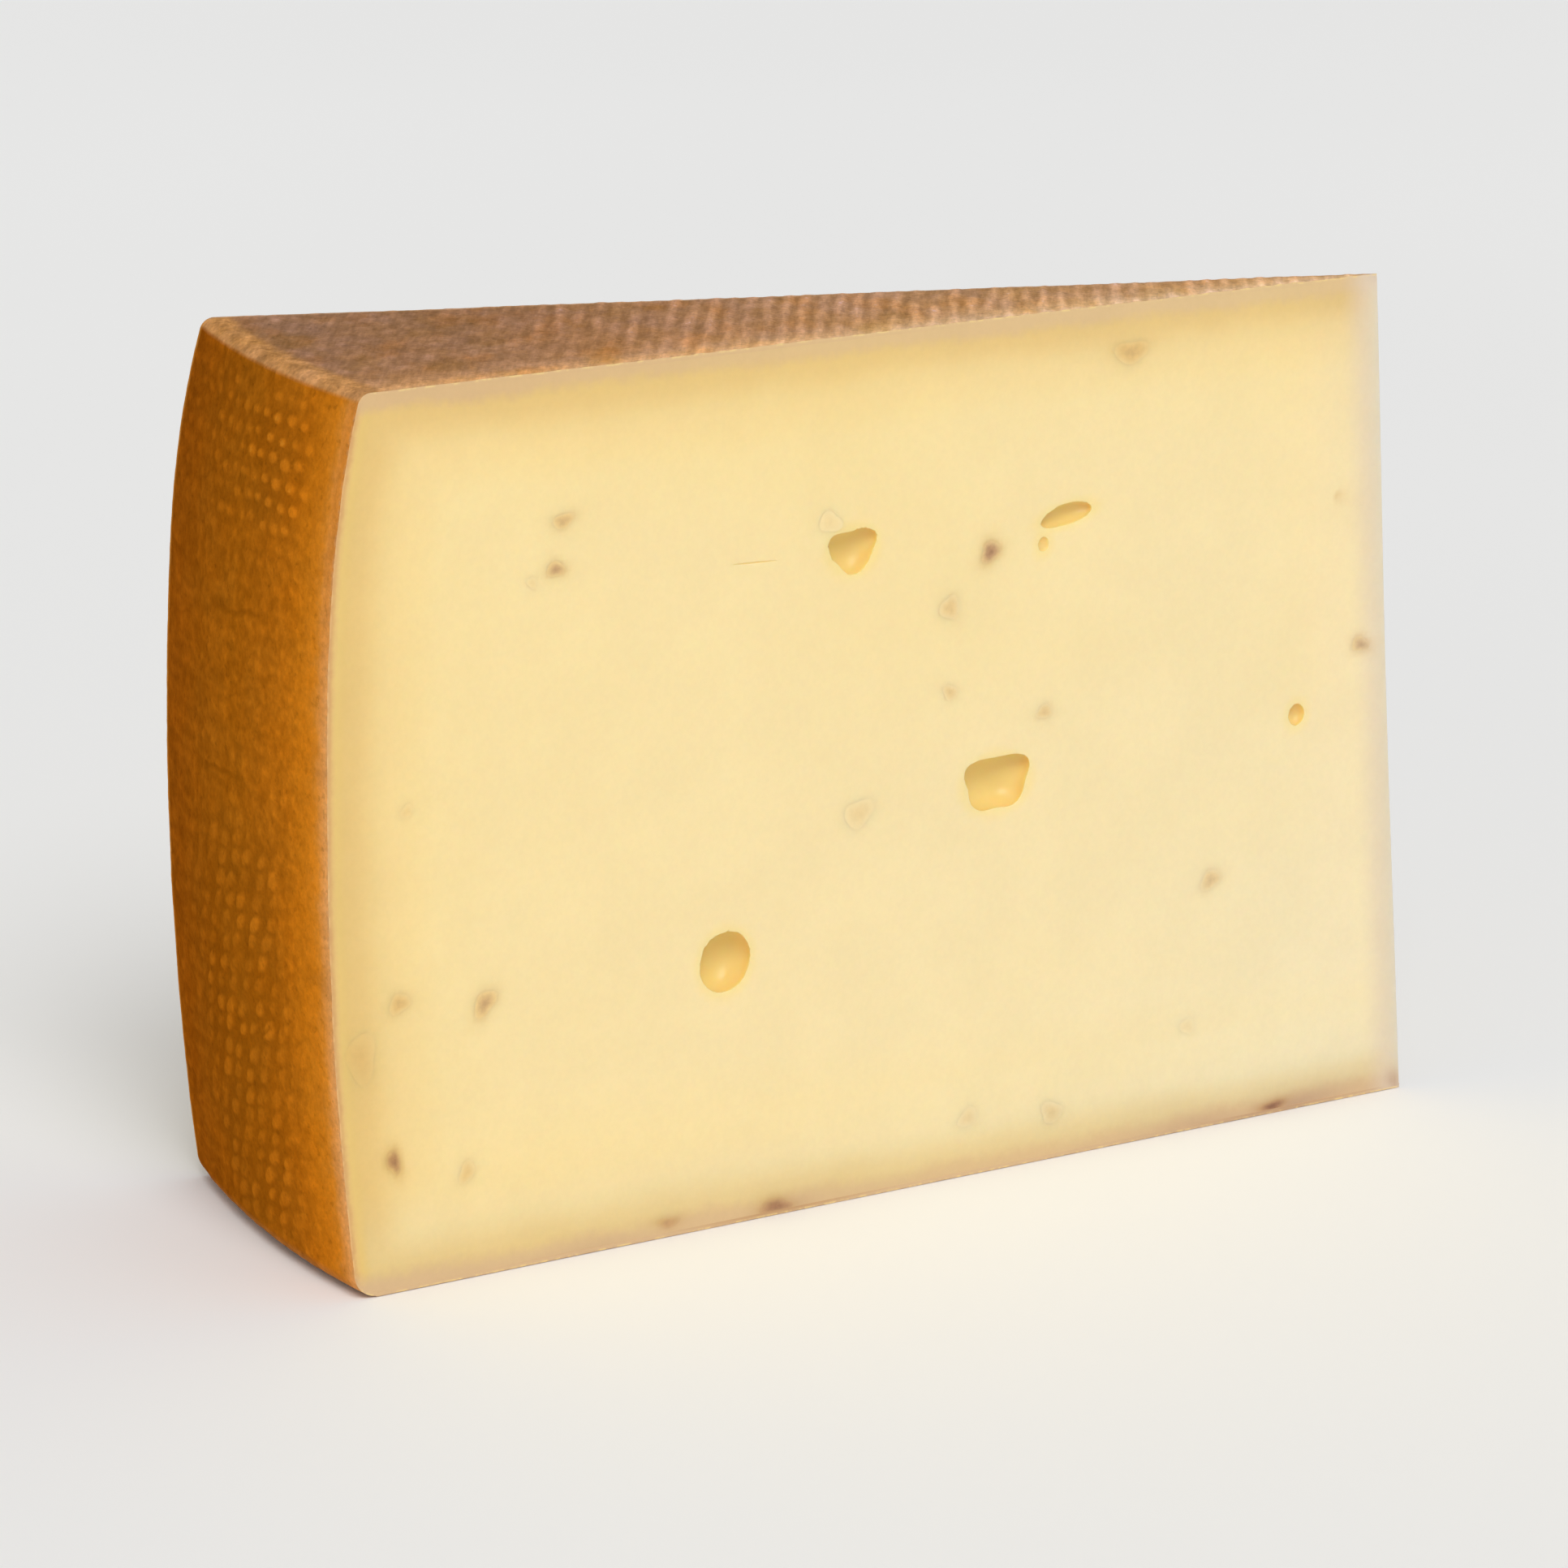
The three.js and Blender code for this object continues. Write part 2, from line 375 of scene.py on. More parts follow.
def rindMaterial():
    n = Nodes("rind")
    relief = n.attribute("relief")
    onFace = n.attribute("onFace")  # 0 on the side, 1 on the top and the underside
    edge = n.attribute("edge")
    fromFront = n.attribute("fromFront")  # millimetres from the front cut
    patch = n.noise(3.0 * mm, detail=4, roughness=0.6)
    fibre = n.noise(0.55 * mm, detail=4, roughness=0.7)
    thread = n.noise(0.45 * mm, detail=3, longer=7, turn=cloth["ribTurn"])
    ragged = n.sum(n.wobble(3 * mm, 3.0), n.wobble(0.9 * mm, 1.6))
    away = n.sum(fromFront, n.product(ragged, n.between(fromFront, 0.2, 3.0)))
    # the side darkens from the front cut towards the back cut: partly its own colour, partly painted shade
    # where the side turns away from the light
    side = n.ramp(away, 40, [
        (0.2, srgb(205, 144, 66)),
        (1.0, srgb(201, 134, 52)),
        (2.0, srgb(193, 120, 28)),
        (3.0, srgb(189, 113, 18)),
        (5.0, srgb(178, 104, 12)),
        (8.0, srgb(165, 94, 9)),
        (13.0, srgb(153, 87, 8)),
        (20.0, srgb(146, 83, 7)),
        (28.0, srgb(139, 77, 6)),
        (38.0, srgb(133, 70, 5)),
    ])
    clean = n.product(n.between(fromFront, 2.4, 0.5), n.between(n.axis("Z"), 55 * mm, 80 * mm), 0.8)
    side = n.blend(clean, side, srgb(190, 116, 26))
    side = n.gain(side, (1.43, 1.40, 1.95, 1))
    face = n.ramp(away, 40, [
        (0.3, srgb(204, 157, 111)),
        (1.0, srgb(198, 150, 102)),
        (2.0, srgb(191, 142, 95)),
        (3.0, srgb(184, 135, 89)),
        (5.0, srgb(175, 127, 84)),
        (8.0, srgb(166, 120, 80)),
        (16.0, srgb(159, 115, 79)),
        (30.0, srgb(152, 111, 77)),
    ])
    towardsTip = n.between(n.axis("X"), -55 * mm, 35 * mm)
    face = n.gain(n.blend(towardsTip, face, n.gain(face, (1.28, 1.46, 1.56, 1))), shade(1.15))
    atFront = n.product(n.between(fromFront, 3.5, 0.8), n.between(n.axis("X"), 0.0, -20 * mm))
    face = n.blend(atFront, face, n.gain(face, (1.15, 1.08, 0.93, 1)))
    inMiddle = n.product(n.between(fromFront, 2.0, 6.0), n.between(n.axis("X"), -45 * mm, -30 * mm))
    face = n.blend(inMiddle, face, n.gain(face, (0.98, 0.93, 0.85, 1)))
    rust = n.between(n.noise(5 * mm, detail=4, longer=2.2, turn=cloth["ribTurn"]), 0.50, 0.66)
    face = n.blend(n.product(rust, 0.7), face, n.gain(face, (1.08, 0.96, 0.76, 1)))
    ochre = n.between(n.noise(6.5 * mm, detail=4, longer=1.8, turn=cloth["ribTurn"]), 0.52, 0.66)
    face = n.blend(n.product(ochre, 0.7), face, n.gain(face, (0.90, 0.88, 0.70, 1)))
    darkerAbove = n.between(n.axis("Z"), 55 * mm, 85 * mm, (1.0, 0.90))
    colour = n.blend(onFace, n.gain(side, darkerAbove), face)
    rimTone = n.gain(srgb(205, 146, 84), n.between(n.noise(2.2 * mm, detail=4), 0.35, 0.65, (0.80, 1.10)))
    colour = n.blend(edge, colour, rimTone)
    crumb = n.product(n.between(n.noise(0.8 * mm, detail=3), 0.42, 0.60), n.between(fromFront, 0.45, 0.1))
    colour = n.blend(n.product(crumb, 0.5), colour, srgb(212, 160, 100))
    back = n.between(n.attribute("fromBack"), 0.1, 1.0, (0.7, 0.0))
    colour = n.blend(back, colour, n.blend(onFace, srgb(224, 152, 62), srgb(206, 160, 114)))
    hue = n.between(n.noise(7 * mm, detail=4), 0.35, 0.65)
    colour = n.blend(n.product(hue, 0.8), colour, n.gain(colour, (0.97, 1.02, 1.25, 1)))
    # knob tops lighter and the ground between them darker: partly the rind's own colour, partly painted light
    # on the tops and painted shade in the grooves
    imprintToneAndShade = n.blend(n.between(relief, 0.0, 1.0), (0.77, 0.76, 0.72, 1), (1.30, 1.33, 1.58, 1))
    colour = n.gain(colour, imprintToneAndShade)
    # painted highlight: small whitish glints on the highest knobs
    knobHighlight = n.product(n.between(relief, 0.75, 1.0), n.between(n.noise(1.3 * mm, detail=3), 0.52, 0.62), 0.6)
    colour = n.blend(knobHighlight, colour, n.gain(colour, (1.15, 1.35, 2.2, 1)))
    dapple = n.between(patch, 0.3, 0.7, (0.93, 1.07))
    pits = n.between(n.noise(0.9 * mm), 0.60, 0.70, (1.02, 0.84))
    speckle = n.product(n.between(fibre, 0.25, 0.75, (0.86, 1.14)), pits)
    drawn = n.blend(onFace, shade(1), n.blend(n.between(thread, 0.35, 0.65), shade(0.90), shade(1.12)))
    colour = n.gain(n.gain(colour, n.product(dapple, speckle)), drawn)
    n.feed(n.shader.inputs["Base Color"], colour)
    n.feed(n.shader.inputs["Roughness"], n.between(patch, 0.3, 0.7, (0.60, 0.80)))
    n.shader.inputs["Specular IOR Level"].default_value = 0.0
    n.glow(0.08, 0.4 * mm)
    coarse = n.bump(patch, 0.08 * mm, 0.5)
    n.feed(n.shader.inputs["Normal"], n.bump(fibre, 0.05 * mm, 0.8, coarse))
    return n.material


def rindCutMaterial():
    n = Nodes("rindCut")
    outer = n.between(n.attribute("depth"), 0.6, 0.1)  # depth is 0 at the outside, 1 at the paste
    crumb = n.between(n.noise(1.4 * mm, detail=4), 0.46, 0.60)
    # lighter crumbs on the outer part of the rind's cut edge; along the top rim this tone is partly a painted
    # highlight on the ragged edge
    crumbAndHighlightTone = n.blend(n.attribute("onFace"), srgb(228, 184, 122), srgb(240, 210, 140))
    n.feed(n.shader.inputs["Base Color"], n.blend(n.product(outer, crumb, 0.75), cutTone(n), crumbAndHighlightTone))
    n.feed(n.shader.inputs["Roughness"], n.between(n.noise(1.5 * mm), 0.3, 0.7, (0.45, 0.6)))
    n.shader.inputs["Specular IOR Level"].default_value = 0.35
    n.feed(n.shader.inputs["Normal"], n.bump(n.noise(0.4 * mm, detail=4), 0.03 * mm, 0.6))
    return n.material


def porciniMaterial():
    n = Nodes("porcini")
    mottle = n.noise(0.6 * mm, detail=4, roughness=0.65)
    flecks = n.between(mottle, 0.35, 0.65, (0.86, 1.10))
    colour = cutTone(n)
    colour = n.blend(n.attribute("stain"), colour, n.gain(colour, flecks))
    n.feed(n.shader.inputs["Base Color"], colour)
    n.feed(n.shader.inputs["Roughness"], n.between(mottle, 0.3, 0.7, (0.45, 0.6)))
    n.shader.inputs["Specular IOR Level"].default_value = 0.35
    n.glow(0.1, 0.2 * mm)
    n.feed(n.shader.inputs["Normal"], n.bump(mottle, 0.02 * mm, 0.5))
    return n.material


def floorMaterial():
    n = Nodes("paleFloor")
    tone = n.between(n.noise(0.5, detail=2), 0.3, 0.7)
    n.feed(n.shader.inputs["Base Color"], n.blend(tone, srgb(247, 247, 246), srgb(249, 249, 248)))
    n.shader.inputs["Roughness"].default_value = 0.85
    n.shader.inputs["Specular IOR Level"].default_value = 0.1
    return n.material


# The rind: one skin from the thin edge over the top, down the side and back along the underside

rindSkin = {
    "topRows": 250,
    "topRoundRows": 8,
    "sideRows": 330,
    "bottomRoundRows": 12,
    "bottomRows": 40,
    "columns": 128,
    "innerRows": 5,  # the inner side, which isn't seen, has one row for so many outside
    "innerColumns": 4,
    "thick": 0.45 * mm,
    "settle": 0.17 * mm,  # how far the ground between the knobs lies below the full outline
    "leastSettle": 0.015 * mm,  # so that no knob stands out past that outline
    "belowSettle": 0.03 * mm,  # the underside is pressed flat
    "sharpFrom": 50,
}
# The cloth that the wheel was pressed in left knobs on its side, small ones high up and large ones low
# down, in the heights and arcs given. On the faces it left ribs, and near the side only dashes of them.
# Worn says what is left of the knobs where the rind is worn most, and the noise over which they come back.
cloth = {
    "sideDeep": 0.24 * mm,
    "knobsHigh": {"across": 2.65 * mm, "up": 2.02 * mm, "wide": 2.05 * mm, "tall": 1.25 * mm, "edge": 0.35,
                  "stagger": 0.5, "heights": (71, 78, 85.5, 88), "arcs": (5, 9, 17, 34),
                  "worn": (0.45, -0.45, 0.15)},
    "knobsLow": {"across": 3.20 * mm, "up": 2.18 * mm, "wide": 2.50 * mm, "tall": 2.20 * mm, "edge": 0.45,
                 "stagger": 0.0, "heights": (0, 6, 38, 48), "arcs": (6, 14, 25, 36),
                 "worn": (0.50, -0.45, 0.25)},
    "dashes": {"across": 3.80 * mm, "up": 1.86 * mm, "wide": 3.60 * mm, "tall": 1.60 * mm, "edge": 0.10,
               "stagger": 0.5},
    "foot": 1.10,  # of a knob's size, where it ends
    "strayAcross": 0.14,  # how much the knobs differ in place, size and strength
    "strayUp": 0.12,
    "sizeSpread": 0.18,
    "strength": 0.85,
    "strengthSpread": 0.32,
    "atFarArc": 0.25,  # of the knobs' strength towards the back cut
    "lean": 0.38,  # how far the columns of the large knobs shift for each millimetre down
    "tip": 0.16,  # and how far their rows drop for each millimetre along
    "ribs": 1.86 * mm,  # between ribs
    "ribTurn": math.radians(53),
    "faceDeep": 0.17 * mm,
}
noiseSlice = 40 * mm  # where the side's noise is taken
flatTilt = 1.5  # in radians, which only the flat faces pass
creases = [  # height, start and end along the arc, slope, half width and strength
    (66.0, 13, 27, 0.14, 0.28, 1.0),
    (49.0, 16, 30, 0.10, 0.28, 1.0),
    (25.5, 11, 20, 0.45, 0.28, 1.0),
    (32.5, 0, 7, 0.05, 1.30, 0.5),
]


def rindStations():
    # one row each: part of the way from the thin edge to the side, height, and how the skin is tilted
    rows = []
    upright = math.pi / 2
    top, bottom = wheel["topRounding"], wheel["bottomRounding"]
    for i in range(rindSkin["topRows"]):
        rows.append((i / rindSkin["topRows"], wheelHeight, upright))
    for i in range(rindSkin["topRoundRows"]):
        tilt = upright * (1 - i / rindSkin["topRoundRows"])
        rows.append((1, wheelHeight - top * (1 - math.sin(tilt)), tilt))
    for i in range(rindSkin["sideRows"]):
        rows.append((1, mix(wheelHeight - top, bottom, i / rindSkin["sideRows"]), 0.0))
    for i in range(rindSkin["bottomRoundRows"]):
        tilt = upright * i / rindSkin["bottomRoundRows"]
        rows.append((1, bottom * (1 - math.sin(tilt)), -tilt))
    for i in range(rindSkin["bottomRows"] + 1):
        rows.append((1 - i / rindSkin["bottomRows"], 0.0, -upright))
    return rows


def wave(phase):
    return 0.5 + 0.5 * math.cos(2 * math.pi * phase)


def knobAt(across, up, kind, seed):
    # how high the knob stands at a place in its lattice; each has its own place, size and strength
    knobs = cloth[kind]
    row = round(up)
    shift = knobs["stagger"] * (row % 2)
    column = round(across - shift)
    own = Vector((column + 0.3, row + 0.6, seed + 0.4))
    aside = across - shift - column - cloth["strayAcross"] * noise.cell(own)
    over = up - row - cloth["strayUp"] * noise.cell(own + Vector((0, 0, 7)))
    size = 1 + cloth["sizeSpread"] * noise.cell(own + Vector((0, 0, 13)))
    wide = aside * knobs["across"] / (0.5 * knobs["wide"] * size)
    tall = over * knobs["up"] / (0.5 * knobs["tall"] * size)
    strength = cloth["strength"] + cloth["strengthSpread"] * noise.cell(own + Vector((0, 0, 19)))
    return strength * (1 - smoothStep(knobs["edge"], cloth["foot"], math.hypot(wide, tall)))


def knobsShown(kind, arc, height, wear):
    # how much of the knobs there is at a place on the side
    rise, full, fade, gone = [limit * mm for limit in cloth[kind]["heights"]]
    shown = smoothStep(rise, full, height) * (1 - smoothStep(fade, gone, height))
    rise, full, fade, gone = [limit * mm for limit in cloth[kind]["arcs"]]
    shown *= smoothStep(rise, full, arc) * (1 - (1 - cloth["atFarArc"]) * smoothStep(fade, gone, arc))
    least, low, high = cloth[kind]["worn"]
    return shown * (least + (1 - least) * smoothStep(low, high, wear))


def sideCloth(arc, height):
    here = (arc, noiseSlice, height)
    bentAcross = 0.30 * wander(here, 19 * mm, 4)
    bentUp = 0.35 * wander(here, 17 * mm, 5)
    small, large = cloth["knobsHigh"], cloth["knobsLow"]
    high = knobAt(arc / small["across"] + bentAcross, height / small["up"] + bentUp, "knobsHigh", 2)
    leaning = arc + cloth["lean"] * height + 0.26 * mm * wander(here, 1.8 * mm, 3)
    tipped = height + cloth["tip"] * arc + 0.20 * mm * wander(here, 1.8 * mm, 8)
    low = knobAt(leaning / large["across"] + bentAcross, tipped / large["up"] + bentUp, "knobsLow", 3)
    wear = wander(here, 9 * mm, 6) + 0.4 * wander(here, 4 * mm, 7)
    upper = knobsShown("knobsHigh", arc, height, wear)
    lower = knobsShown("knobsLow", arc, height, wear)
    # the mottle between the knobs is drawn out towards the back cut
    grain = (arc * mix(1, 0.45, smoothStep(22 * mm, 34 * mm, arc)), noiseSlice, height)
    mottle = 0.30 * wander(grain, 1.3 * mm, 9) + 0.20 * wander(grain, 0.7 * mm, 10)
    ground = 0.36 - 0.16 * upper + mottle * (1 - 0.5 * max(upper, lower))
    faint = 0.12 * high * (1 - upper) * (1 - lower)
    return ground + 0.90 * upper * high + lower * (0.70 * low - 0.35) + faint


def faceCloth(x, y, seed):
    # ribs across the face, thin and uneven; near the side only smeared pieces of them are left
    c, s = math.cos(cloth["ribTurn"]), math.sin(cloth["ribTurn"])
    along, over = x * c + y * s, y * c - x * s
    here = (x, y, seed * 10 * mm)
    drawn = (along * 0.25, over, seed * 10 * mm)
    bent = over / cloth["ribs"] + 0.30 * wander(here, 18 * mm, 11) + 0.16 * wander(drawn, 2.4 * mm, 14)
    rib = wave(bent) ** 1.6
    own = max(0.75 + 1.1 * wander(drawn, 1.6 * mm, 15), 0.1)
    shown = smoothStep(-50 * mm, -5 * mm, x + 14 * mm * wander(here, 16 * mm, 13))
    length = along / cloth["dashes"]["across"] + 0.5 * wander(here, 5 * mm, 16)
    dash = knobAt(length, bent, "dashes", 5 + seed) * smoothStep(-0.4, 0.2, wander(here, 6 * mm, 18))
    smear = smoothStep(0.0, 0.35, wander((along * 0.48, over, seed * 10 * mm), 1.4 * mm, 16))
    ground = 0.24 + 0.20 * wander(drawn, 0.75 * mm, 17)
    return ground + 0.74 * shown * rib * own + (1 - 0.8 * shown) * (0.34 * dash + 0.16 * smear)


def creaseAt(arc, height):
    deep = 0
    for middle, start, end, slope, wide, strength in creases:
        line = middle * mm - slope * (arc - start * mm) + 0.5 * mm * wander((arc, 0, 0), 3 * mm, middle)
        held = smoothStep(start * mm, (start + 3) * mm, arc) if start else 1
        held *= 1 - smoothStep((end - 4) * mm, end * mm, arc)
        deep += strength * held * math.exp(-((height - line) / (wide * mm)) ** 2)
    return deep


def reliefAt(place, height, tilt, rimward):
    # how high the skin stands between the ground of the cloth's imprint, 0, and the tops of the knobs, 1
    fromFront, fromBack = place.y - frontY, behindBack(place)
    up = abs(math.sin(tilt))
    flat = smoothStep(0.4, 0.98, up)
    edge = smoothStep(0.05, 0.45, up) * (1 - smoothStep(0.9 * mm, 2.2 * mm, rimward))
    knob = mix(sideCloth(fromFront, height), faceCloth(place.x, place.y, 1 if tilt > 0 else 2), flat)
    knob = mix(knob, 0.35 + 0.45 * wander(place, 1.7 * mm, 18), 0.7 * edge)
    rough = smoothStep(2.5 * mm, 8.0 * mm, fromFront) * smoothStep(0, 1 * mm, fromBack)
    knob = mix(0.30 + 0.12 * wander(place, 1.5 * mm, 19), knob, mix(mix(0.25, 0.55, flat), 1, rough))
    return knob, flat, edge if tilt > 0 else 0.25 * edge


def rindPlace(row, across, isInner):
    part, height, tilt = row
    angle = wheel["wedgeAngle"] * across
    far = reach(height, angle, outlineRadius(height))
    along = mix(tipTrim(height), far, part)
    place = placeAt(height, angle, along)
    onFace = abs(tilt) > flatTilt
    knob, flat, edge = reliefAt(place, height, tilt, far - along if onFace else 0)
    crease = 0 if onFace else creaseAt(place.y - frontY, height)
    deepest = mix(cloth["sideDeep"], cloth["faceDeep"], flat)
    slow = 0.08 * mm * wander(place, 14 * mm, 20) + 0.04 * mm * wander(place, 5 * mm, 21)
    inset = rindSkin["settle"] - deepest * (knob - 0.3) - slow + 0.10 * mm * crease
    if tilt < -flatTilt:
        inset = rindSkin["belowSettle"] + 0.4 * deepest * max(1 - knob, 0)
    inset = max(inset, rindSkin["leastSettle"])
    if isInner:
        inset += rindSkin["thick"] * (1 + 0.20 * wander((place.x, 0, place.z), 7 * mm, 30))
    marks = {
        "relief": min(max(knob - 0.5 * crease, 0), 1),
        "onFace": flat,
        "edge": edge,
        "fromFront": (place.y - frontY) / mm,
        "fromBack": behindBack(place) / mm,
        "depth": 1.0 if isInner else 0.0,
    }
    place = waveIn(place, along, across)
    place -= cutDirection(angle) * (math.cos(tilt) * inset)
    place.z -= math.sin(tilt) * inset
    return place, marks


def makeRind():
    rows = rindStations()
    bm = bmesh.new()
    bmesh.ops.create_grid(bm, x_segments=len(rows) - 1, y_segments=rindSkin["columns"], size=0.5)
    bmesh.ops.translate(bm, verts=bm.verts[:], vec=(0.5, 0.5, 0))
    made = bmesh.ops.extrude_face_region(bm, geom=bm.faces[:])
    inner = [g for g in made["geom"] if isinstance(g, bmesh.types.BMVert)]
    alongSteps = (len(rows) - 1) // rindSkin["innerRows"]
    acrossSteps = rindSkin["columns"] // rindSkin["innerColumns"]
    for vert in inner:
        along, across, _ = vert.co
        vert.co = (round(along * alongSteps) / alongSteps, round(across * acrossSteps) / acrossSteps, 1)
    bmesh.ops.remove_doubles(bm, verts=inner, dist=1e-5)
    for face in bm.faces:
        if max(v.co.y for v in face.verts) < 1e-6 or min(v.co.y for v in face.verts) > 1 - 1e-6:
            face.material_index = 1
    values = {}
    for vert in bm.verts:
        row = rows[round(vert.co.x * (len(rows) - 1))]
        vert.co, marks = rindPlace(row, vert.co.y, vert.co.z > 0.5)
        for key, value in marks.items():
            values.setdefault(key, []).append(value)
    bmesh.ops.recalc_face_normals(bm, faces=bm.faces[:])
    piece = newPiece("rind", bm, [rindMaterial(), rindCutMaterial()])
    for key, numbers in values.items():
        store(piece, key, numbers)
    softShade(piece, rindSkin["sharpFrom"])
    return piece


# The paste: the body between the cuts, with its eyes

pasteBlock = {
    "long": 232,
    "high": 152,
    "across": 6,
    "inset": 0.40 * mm,  # its outside lies half way into the rind's skin
    "insetBelow": 0.27 * mm,
    "hollow": 0.5 * mm,  # further in between the cuts, where it can't be seen
    "sunk": 0.008 * mm,  # behind the cut edge of the rind
    "sharpFrom": 40,
}
# The eyes' rims are softened, and a ring of the cut round them has a deeper colour
eyeRims = {
    "sharpFrom": 28,  # degrees between faces
    "atCut": 0.5 * mm,  # how near a cut a rim lies
    "clear": 3 * mm,  # of the rind and the thin edge, which stay as they are
    "furthest": 112 * mm,  # from the thin edge
    "ringDeep": 4 * mm,
    "ringFrom": 0.3,  # these three in millimetres
    "ringFade": 0.8,
    "ringLeast": 1,  # height of the smallest eye with a ring
}
# Each eye is placed on its cut face, in millimetres from the thin edge and from the underside. The last
# one on each face is a hairline split.
frontEyes = [
    {"fromTip": 52.3, "height": 41.6, "wide": 8.2, "tall": 5.8, "deep": 2.4, "corners": 4, "blunt": 0.09,
     "cornerAt": 45, "taper": 0.22},
    {"fromTip": 87, "height": 27.7, "wide": 6, "tall": 6.3, "deep": 2.6, "turn": -10, "taper": 0.05},
    {"fromTip": 68.7, "height": 68.1, "wide": 5.6, "tall": 4.4, "deep": 2, "corners": 3, "blunt": 0.09,
     "cornerAt": 42, "taper": 0.12, "bend": 0.15},
    {"fromTip": 41.9, "height": 68.6, "wide": 6.4, "tall": 2.1, "deep": 1.3, "turn": 9, "bend": -0.18},
    {"fromTip": 45, "height": 65.9, "wide": 1.3, "tall": 1.5, "deep": 0.4},
    {"fromTip": 12.7, "height": 43.6, "wide": 2.1, "tall": 2.3, "deep": 0.9},
    {"fromTip": 80.6, "height": 68.2, "wide": 5.8, "tall": 0.16, "deep": 0.18, "turn": -2},
]
backEyes = [
    {"fromTip": 94, "height": 58.5, "wide": 6.6, "tall": 5.6, "deep": 2.3, "corners": 3, "blunt": 0.08,
     "cornerAt": 80},
    {"fromTip": 66.5, "height": 33, "wide": 7.2, "tall": 6.1, "deep": 2.5, "corners": 4, "blunt": 0.06,
     "cornerAt": 20, "taper": -0.1},
    {"fromTip": 103, "height": 19, "wide": 4.2, "tall": 4.6, "deep": 1.8},
    {"fromTip": 42, "height": 63, "wide": 5.1, "tall": 4.2, "deep": 1.6, "turn": -20, "bend": 0.4},
    {"fromTip": 27, "height": 22.5, "wide": 3, "tall": 2.6, "deep": 1.1},
    {"fromTip": 58, "height": 71, "wide": 5.4, "tall": 0.16, "deep": 0.18, "turn": 6},
]
allEyes = [(False, eye) for eye in frontEyes] + [(True, eye) for eye in backEyes]  # True at the back
eyeSink = 0.28  # of its depth: how far a bubble's middle lies inside the cut


def onCut(back, fromTip, height, right, inward, up):
    # a point on or behind a cut face; right runs towards the thin edge
    place = placeAt(height, wheel["wedgeAngle"] if back else 0.0, fromTip - right)
    return place + (backOut * -inward if back else Vector((0, inward, 0))) + Vector((0, 0, up))


def turned(x, z, degrees):
    c, s = math.cos(math.radians(degrees)), math.sin(math.radians(degrees))
    return x * c - z * s, x * s + z * c


def addBubble(bm, eye, back):
    made = bmesh.ops.create_uvsphere(bm, u_segments=48, v_segments=26, radius=1)
    opening = math.sqrt(1 - eyeSink ** 2)
    for vert in made["verts"]:
        x, z, y = vert.co  # the sphere's poles look along the depth
        around = math.atan2(z, x) - math.radians(eye.get("cornerAt", 0))
        swell = (1 + eye.get("blunt", 0) * math.cos(eye.get("corners", 0) * around)) / opening
        swell *= 1 + 0.05 * noise.noise(Vector((x, y, z)) * 1.6 + Vector((eye["fromTip"], 0, eye["height"])))
        x, z = x * swell * (1 + eye.get("taper", 0) * z), z * swell
        z += eye.get("bend", 0) * (x * x - 0.5)
        x, z = turned(x * eye["wide"] / 2, z * eye["tall"] / 2, eye.get("turn", 0))
        deep = (y + eyeSink) * eye["deep"]
        vert.co = onCut(back, eye["fromTip"] * mm, eye["height"] * mm, x * mm, deep * mm, z * mm)


def makeBubbles():
    bm = bmesh.new()
    for back, eye in allEyes:
        addBubble(bm, eye, back)
    bmesh.ops.recalc_face_normals(bm, faces=bm.faces[:])
    return newPiece("bubbles", bm, [])


def pastePlace(part, up, across):
    angle = wheel["wedgeAngle"] * across
    hollow = pasteBlock["hollow"] * math.sin(math.pi * across)
    low, high = pasteBlock["insetBelow"] + hollow, pasteBlock["inset"] + hollow
    up = mix(up, 0.5 - 0.5 * math.cos(math.pi * up), 0.5)  # rows closer together at the top and bottom
    height = mix(low, wheelHeight - high, up)
    inset = mix(low, high, min(height / wheel["bottomRounding"], 1))
    sunk = pasteBlock["sunk"]
    along = mix(reach(height, angle, outlineRadius(height, inset)), tipTrim(height) + sunk, part)
    place = waveIn(placeAt(height, angle, along), along, across)
    sunk *= smoothStep(0, 4 * mm, along)
    if across < 1e-6:
        place.y += sunk
    elif across > 1 - 1e-6:
        place -= backOut * sunk
    return place


def carve(body, cutter):
    change = body.modifiers.new("carve", "BOOLEAN")
    change.operation = "DIFFERENCE"
    change.solver = "MANIFOLD"
    change.object = cutter
    graph = bpy.context.evaluated_depsgraph_get()
    carved = bpy.data.meshes.new_from_object(body.evaluated_get(graph))
    body.modifiers.clear()
    body.data = carved
    bpy.data.objects.remove(cutter)


def onPaste(place):
    # clear of the rind and of the thin edge
    clear = eyeRims["clear"]
    inHeight = clear < place.z < wheelHeight - clear
    return inHeight and clear < tipAt(place.z) - place.x < eyeRims["furthest"]


def softenRims(piece):
    # an eye's rim isn't knife sharp
    bm = bmesh.new()
    bm.from_mesh(piece.data)
    rims = set()
    for edge in bm.edges:
        middle = (edge.verts[0].co + edge.verts[1].co) / 2
        atCut = min(middle.y - frontY, behindBack(middle)) < eyeRims["atCut"]
        if atCut and onPaste(middle) and edge.calc_face_angle(0) > math.radians(eyeRims["sharpFrom"]):
            rims.update(edge.verts)
    beside = {edge.other_vert(vert) for vert in rims for edge in vert.link_edges} | rims
    for group, factor, times in ((rims, 0.5, 3), (beside, 0.3, 3)):
        for _ in range(times):
            bmesh.ops.smooth_vert(
                bm, verts=list(group), factor=factor, use_axis_x=True, use_axis_y=True, use_axis_z=True
            )
    bm.to_mesh(piece.data)
    bm.free()


